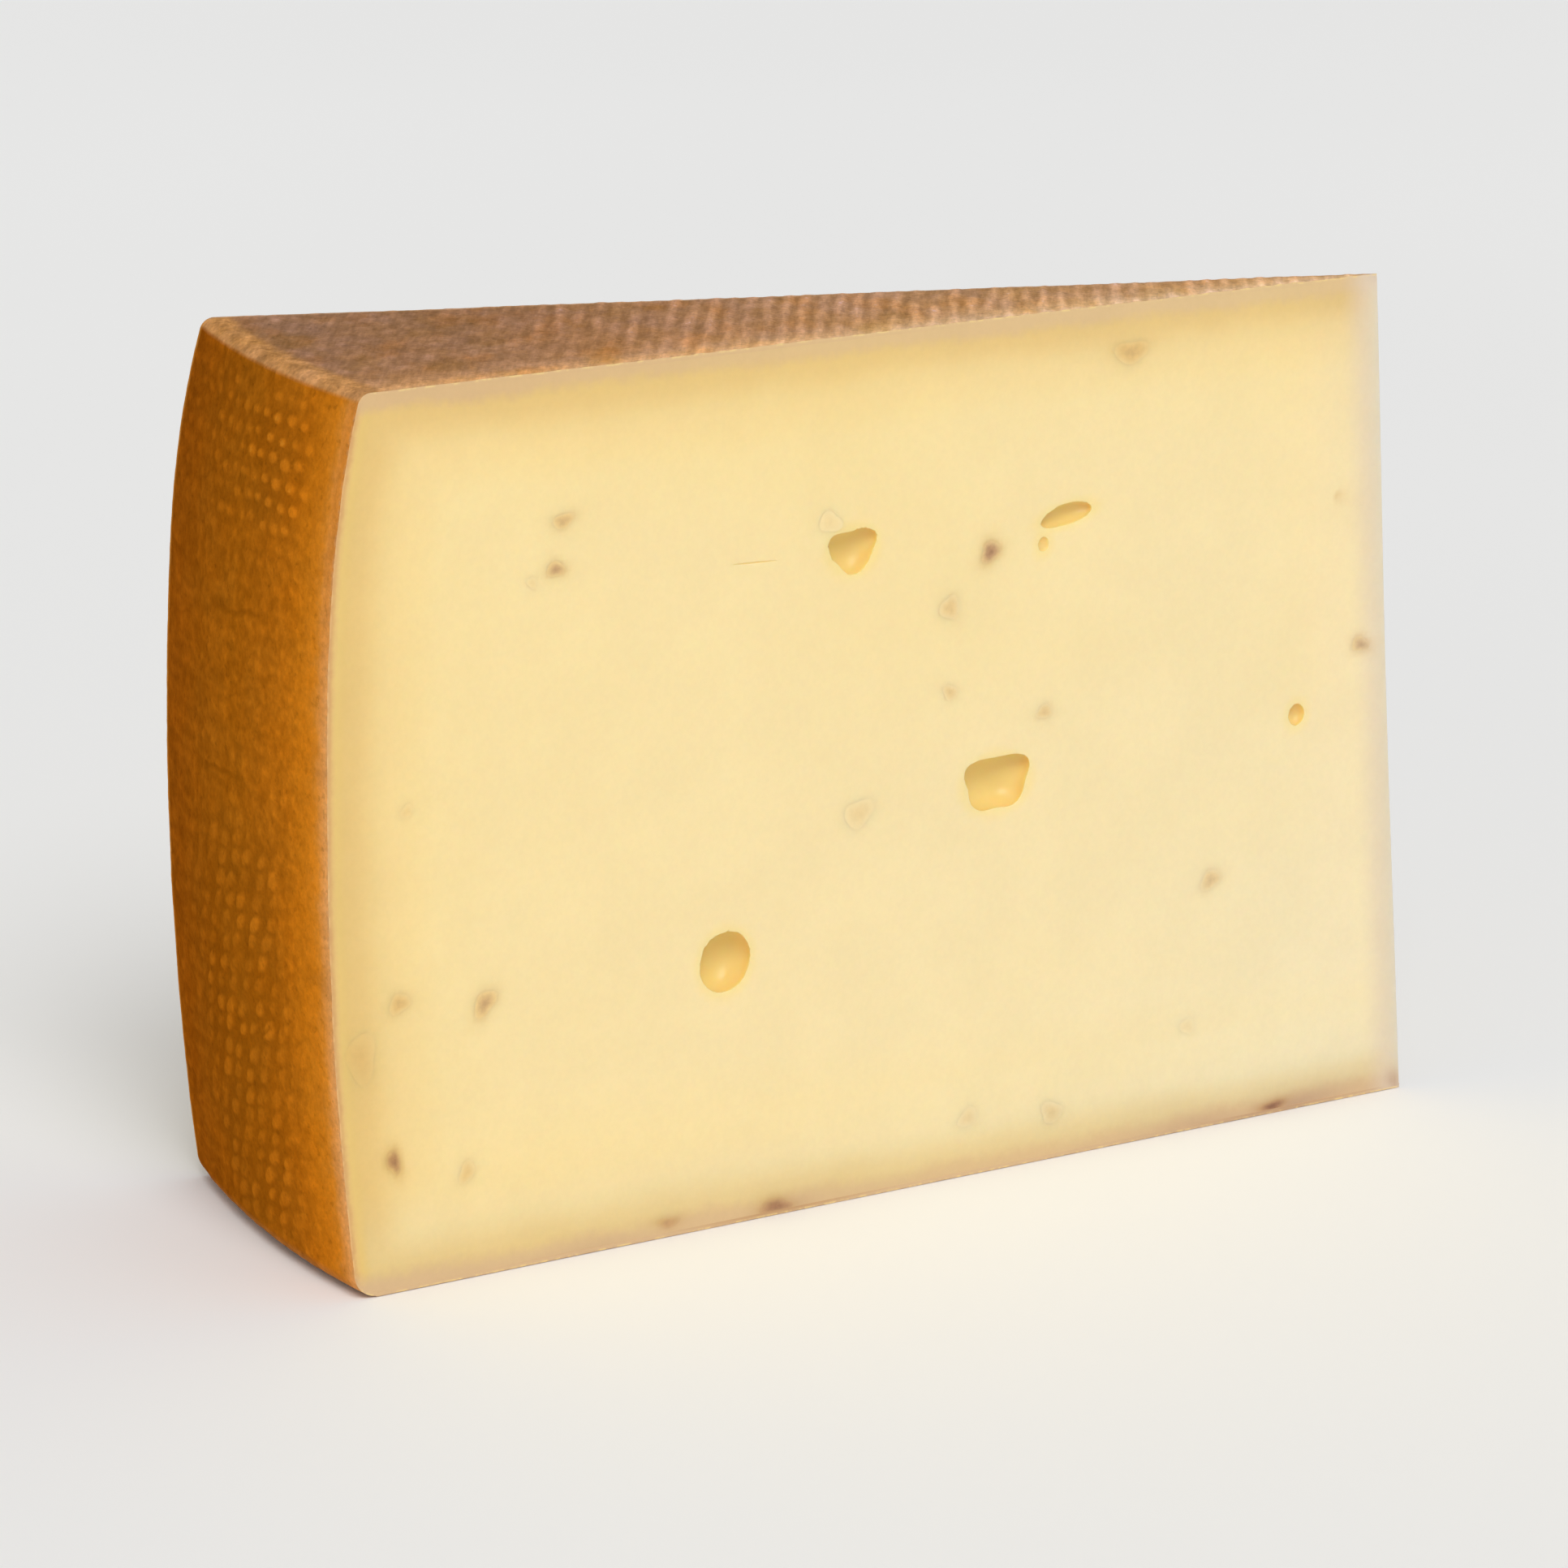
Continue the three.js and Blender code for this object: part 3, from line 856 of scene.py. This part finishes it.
def makePaste():
    bm = bmesh.new()
    bmesh.ops.create_grid(bm, x_segments=pasteBlock["long"], y_segments=pasteBlock["high"], size=0.5)
    bmesh.ops.translate(bm, verts=bm.verts[:], vec=(0.5, 0.5, 0))
    made = bmesh.ops.extrude_face_region(bm, geom=bm.faces[:])
    farSide = [g for g in made["geom"] if isinstance(g, bmesh.types.BMVert)]
    bmesh.ops.translate(bm, verts=farSide, vec=(0, 0, 1))
    acrossEdges = [e for e in bm.edges if abs(e.verts[0].co.z - e.verts[1].co.z) > 0.5]
    bmesh.ops.subdivide_edges(bm, edges=acrossEdges, cuts=pasteBlock["across"] - 1, use_grid_fill=True)
    for vert in bm.verts:
        vert.co = pastePlace(vert.co.x, vert.co.y, vert.co.z)
    bmesh.ops.recalc_face_normals(bm, faces=bm.faces[:])
    piece = newPiece("paste", bm, [])
    carve(piece, makeBubbles())
    piece.data.name = "paste"
    piece.data.materials.clear()
    piece.data.materials.append(pasteMaterial())
    softenRims(piece)
    softShade(piece, pasteBlock["sharpFrom"])
    depths = [min(y - frontY, behindBack(Vector((x, y, z)))) / mm for x, y, z in pointsOf(piece).tolist()]
    store(piece, "eyeDepth", depths)
    store(piece, "rim", ringRound(pointsOf(piece)))
    return piece


# Pieces of porcini that the cuts went through, placed as the eyes are

frontSpecks = [
    {"fromTip": 102.8, "height": 75.0, "wide": 2.5, "tall": 1.5, "dark": 0.50},
    {"fromTip": 104.0, "height": 70.3, "wide": 2.0, "tall": 1.7, "dark": 0.68},
    {"fromTip": 106.8, "height": 69.3, "wide": 1.3, "tall": 1.1, "dark": 0.15},
    {"fromTip": 51.7, "height": 65.9, "wide": 2.5, "tall": 2.1, "dark": 1.0},
    {"fromTip": 57.1, "height": 60.7, "wide": 2.2, "tall": 2.7, "dark": 0.34},
    {"fromTip": 57.6, "height": 51.9, "wide": 1.8, "tall": 1.6, "dark": 0.32},
    {"fromTip": 45.8, "height": 48.3, "wide": 2.3, "tall": 1.3, "dark": 0.36},
    {"fromTip": 69.7, "height": 40.8, "wide": 3.3, "tall": 3.1, "dark": 0.20},
    {"fromTip": 71.3, "height": 71.2, "wide": 2.6, "tall": 2.2, "dark": 0.14},
    {"fromTip": 129.9, "height": 24.6, "wide": 3.6, "tall": 4.6, "dark": 0.16},
    {"fromTip": 25.0, "height": 27.2, "wide": 2.6, "tall": 2.2, "dark": 0.42},
    {"fromTip": 28.8, "height": 11.6, "wide": 1.8, "tall": 1.9, "dark": 0.14},
    {"fromTip": 47.1, "height": 5.1, "wide": 3.0, "tall": 2.2, "dark": 0.26},
    {"fromTip": 57.9, "height": 6.3, "wide": 2.5, "tall": 2.0, "dark": 0.20},
    {"fromTip": 32.8, "height": 84.7, "wide": 3.9, "tall": 2.6, "dark": 0.42},
    {"fromTip": 3.8, "height": 50.2, "wide": 2.5, "tall": 1.6, "dark": 0.60},
    {"fromTip": 115.5, "height": 27.9, "wide": 2.3, "tall": 2.8, "dark": 0.62, "turn": -34},
    {"fromTip": 125.2, "height": 29.4, "wide": 2.2, "tall": 2.2, "dark": 0.38},
    {"fromTip": 127.1, "height": 13.5, "wide": 1.6, "tall": 2.7, "dark": 1.0},
    {"fromTip": 118.9, "height": 11.0, "wide": 1.9, "tall": 2.2, "dark": 0.32, "turn": -25},
    {"fromTip": 122.8, "height": 48.5, "wide": 1.4, "tall": 1.4, "dark": 0.16},
    {"fromTip": 95.7, "height": 1.6, "wide": 2.8, "tall": 1.4, "dark": 0.42},
    {"fromTip": 82.6, "height": 1.0, "wide": 4.4, "tall": 1.5, "dark": 0.75},
    {"fromTip": 17.7, "height": 0.8, "wide": 3.2, "tall": 1.2, "dark": 0.90},
]
# Browner places in the cheese itself along the underside
frontBruises = [
    {"fromTip": 14.5, "height": 0.6, "wide": 12, "tall": 3.0, "dark": 0.95},
    {"fromTip": 27.5, "height": 0.4, "wide": 12, "tall": 3.4, "dark": 0.65},
    {"fromTip": 0.9, "height": 1.0, "wide": 2.2, "tall": 3.0, "dark": 0.80},
    {"fromTip": 80.5, "height": 0.8, "wide": 9, "tall": 2.6, "dark": 0.45},
    {"fromTip": 104, "height": 0.6, "wide": 12, "tall": 2.0, "dark": 0.35},
]
# The same kind of pieces for the cut that faces away, drawn within these limits
backSpecks = {
    "count": 20,
    "seed": 5,
    "fromTip": (6, 122),
    "height": (5, 85),
    "wide": (1.5, 3.4),
    "tall": (1.3, 3.0),
    "dark": (0.15, 0.25, 0.35, 0.45, 0.6, 0.95),  # one of these
    "turn": (-40, 40),
    "apart": 6,  # from each other and from the eyes
}
# How a piece sits in the cheese and stains it, with a dark core and a fainter halo
porciniBit = {
    "deep": 0.5,  # in millimetres
    "level": 0.008,  # how far its cut side may rise over the paste
    "lowest": 0.55 * mm,  # above the floor
    "core": 0.72,
    "coreReach": 0.84,  # of the piece's own half width
    "halo": 0.18,
    "haloReach": 1.5,
    "stainDeep": 2 * mm,
    "sharpFrom": 60,
}


def scatterSpecks():
    rng = random.Random(backSpecks["seed"])
    specks = []
    while len(specks) < backSpecks["count"]:
        speck = {key: rng.uniform(*backSpecks[key]) for key in ("fromTip", "height", "wide", "tall")}
        speck["dark"] = rng.choice(backSpecks["dark"])
        speck["turn"] = rng.uniform(*backSpecks["turn"])
        clear = all(
            math.hypot(speck["fromTip"] - o["fromTip"], speck["height"] - o["height"]) > backSpecks["apart"]
            for o in specks + backEyes
        )
        if clear:
            specks.append(speck)
    return specks


def raggedness(number, around):
    # each piece has an outline of its own
    return 1 + 0.13 * np.sin(2 * around + 1.9 * number) + 0.12 * np.sin(3 * around + 2.7 * number)


def stainFrom(places, specks):
    # how far the cheese is darkened by the pieces in it, which have soft edges
    stain = np.zeros(len(places))
    for number, (back, speck) in enumerate(specks):
        angle = wheel["wedgeAngle"] if back else 0.0
        away = places - np.array(onCut(back, speck["fromTip"] * mm, speck["height"] * mm, 0, 0, 0))
        lean = away[:, 2] * wheel["tipLean"] / wheelHeight
        right = -((away[:, 0] + lean) * -math.cos(angle) + away[:, 1] * math.sin(angle))
        x, z = turned(right / mm, away[:, 2] / mm, -speck.get("turn", 0))
        x, z = x / (speck["wide"] / 2), z / (speck["tall"] / 2)
        distance = np.hypot(x, z) / raggedness(number, np.arctan2(z, x))
        core = porciniBit["core"] * np.exp(-(distance / porciniBit["coreReach"]) ** 2)
        halo = porciniBit["halo"] * np.exp(-(distance / porciniBit["haloReach"]) ** 2)
        inside = np.abs(away @ np.array(backOut if back else (0, 1, 0))) < porciniBit["stainDeep"]
        stain = np.maximum(stain, speck["dark"] * (core + halo) * inside)
    return stain


def ringRound(places):
    # 1 beside an eye's rim, 0 further away on the cut
    ring = np.zeros(len(places))
    for back, eye in allEyes:
        angle = wheel["wedgeAngle"] if back else 0.0
        away = places - np.array(onCut(back, eye["fromTip"] * mm, eye["height"] * mm, 0, 0, 0))
        right = away[:, 0] * math.cos(angle) - away[:, 1] * math.sin(angle)
        x, z = turned(right / mm, away[:, 2] / mm, -eye.get("turn", 0))
        past = np.hypot(x / (eye["wide"] / 2), z / (eye["tall"] / 2)) - 1
        past = past * math.sqrt(eye["wide"] * eye["tall"]) / 2
        inside = np.abs(away @ np.array(backOut if back else (0, 1, 0))) < eyeRims["ringDeep"]
        shown = np.clip(1 - (past - eyeRims["ringFrom"]) / eyeRims["ringFade"], 0, 1)
        ring = np.maximum(ring, shown * inside * (eye["tall"] > eyeRims["ringLeast"]))
    return ring


def storeMarks(piece, specks):
    # in millimetres: how far each point lies from the rind's side, the nearer flat face and the thin edge
    places = pointsOf(piece)
    heights = np.clip(places[:, 2], 0, wheelHeight)
    outline = np.array([outlineRadius(height) for height in heights.tolist()])
    store(piece, "toHeel", (outline - np.hypot(places[:, 0] - axisX, places[:, 1] - frontY)) / mm)
    store(piece, "toFace", np.minimum(wheelHeight - heights, heights) / mm)
    store(piece, "toTip", (tipAt(heights) - places[:, 0]) / mm)
    store(piece, "stain", stainFrom(places, specks))
    store(piece, "bruise", stainFrom(places, [(False, bruise) for bruise in frontBruises]))


def makePorcini(specks):
    bm = bmesh.new()
    for number, (back, speck) in enumerate(specks):
        made = bmesh.ops.create_icosphere(bm, subdivisions=4, radius=1)
        along, height = speck["fromTip"] * mm, speck["height"] * mm
        seed = handCut["backSeed" if back else "frontSeed"]
        for vert in made["verts"]:
            x, y, z = vert.co
            ragged = raggedness(number, math.atan2(z, x))
            fromMiddle = math.hypot(x, z)
            right = x * ragged * speck["wide"] / 2
            up = z * ragged * speck["tall"] / 2
            right, up = turned(right, up, speck.get("turn", 0))
            flat = onCut(back, along, height, right * mm, 0, up * mm)
            sink = cutWave(flat.x, flat.z, along - right * mm, seed) + pasteBlock["sunk"]
            deep = max(y * porciniBit["deep"], -porciniBit["level"] * (1 - fromMiddle ** 4))
            vert.co = onCut(back, along, height, right * mm, sink + deep * mm, up * mm)
            vert.co.z = max(vert.co.z, porciniBit["lowest"])
    piece = newPiece("porciniPieces", bm, [porciniMaterial()])
    softShade(piece, porciniBit["sharpFrom"])
    return piece


# The scene round it

view = {
    "azimuth": math.radians(-35.73),
    "elevation": math.radians(14.74),
    "roll": math.radians(1.13),
    "place": (-405.13 * mm, -564.085 * mm, 221.12 * mm),
    "photoFocal": 3900,  # in pixels of the photograph
    "photoWindow": 880,  # side of the square of the photograph that the frame shows
    "sensor": 36,
    "near": 0.02,
    "far": 60,
}
sun = {
    "azimuth": math.radians(-24),
    "elevation": math.radians(46),
    "energy": 1.68,
    "angle": math.radians(32),  # wide, for soft shadows
}
# A pale room: as bright as the floor round the horizon, dimmer overhead
room = {"horizon": 0.94, "horizonTo": 0.10, "overhead": 0.42, "overheadFrom": 0.45}
paleFloor = {"x_segments": 24, "y_segments": 24, "size": 15}


def outFrom(azimuth, elevation):
    # the direction from the middle towards something that stands at an azimuth and elevation
    flat = math.cos(elevation)
    return Vector((math.sin(azimuth) * flat, -math.cos(azimuth) * flat, math.sin(elevation)))


def makeCamera():
    back = outFrom(view["azimuth"], view["elevation"])
    right = Vector((0, 0, 1)).cross(back).normalized()
    up = back.cross(right)
    roll = view["roll"]
    rolledRight = right * math.cos(roll) + up * math.sin(roll)
    rolledUp = up * math.cos(roll) - right * math.sin(roll)
    lens = bpy.data.cameras.new("camera")
    lens.sensor_width = view["sensor"]
    lens.lens = view["sensor"] * view["photoFocal"] / view["photoWindow"]
    lens.clip_start = view["near"]
    lens.clip_end = view["far"]
    camera = bpy.data.objects.new("camera", lens)
    bpy.context.scene.collection.objects.link(camera)
    turn = Matrix((rolledRight, rolledUp, back)).transposed().to_4x4()
    camera.matrix_world = Matrix.Translation(view["place"]) @ turn
    bpy.context.scene.camera = camera


def makeSun():
    lamp = bpy.data.lights.new("key", "SUN")
    lamp.energy = sun["energy"]
    lamp.angle = sun["angle"]
    towards = outFrom(sun["azimuth"], sun["elevation"])
    light = bpy.data.objects.new("key", lamp)
    light.location = Vector((0, 0, wheelHeight / 2)) + towards
    light.rotation_mode = "QUATERNION"
    light.rotation_quaternion = towards.to_track_quat("Z", "Y")
    bpy.context.scene.collection.objects.link(light)


def makeFloor():
    bm = bmesh.new()
    bmesh.ops.create_grid(bm, **paleFloor)
    newPiece("floor", bm, [floorMaterial()])


def makeWorld():
    world = bpy.data.worlds.new("studio")
    world.use_nodes = True
    tree = world.node_tree
    place = tree.nodes.new("ShaderNodeTexCoord")
    split = tree.nodes.new("ShaderNodeSeparateXYZ")
    ramp = tree.nodes.new("ShaderNodeValToRGB")
    low, high = ramp.color_ramp.elements
    low.position, low.color = room["horizonTo"], shade(room["horizon"])
    high.position, high.color = room["overheadFrom"], shade(room["overhead"])
    tree.links.new(place.outputs["Generated"], split.inputs[0])
    tree.links.new(split.outputs["Z"], ramp.inputs["Fac"])
    tree.links.new(ramp.outputs["Color"], tree.nodes["Background"].inputs["Color"])
    bpy.context.scene.world = world


makeCamera()
makeFloor()
makeWorld()
makeSun()
bpy.context.scene.view_settings.view_transform = "Standard"
bpy.context.scene.view_settings.look = "None"
print("studio ready")

specks = [(False, speck) for speck in frontSpecks] + [(True, speck) for speck in scatterSpecks()]

rind = makeRind()
storeMarks(rind, specks)
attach(rind, "root")
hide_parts("wedge")
print("rind made")

paste = makePaste()
storeMarks(paste, specks)
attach(paste, "root")
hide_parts("wedge")
print("paste made")

porcini = makePorcini(specks)
storeMarks(porcini, specks)
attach(porcini, "root")
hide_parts("wedge")
print("porcini pieces made")
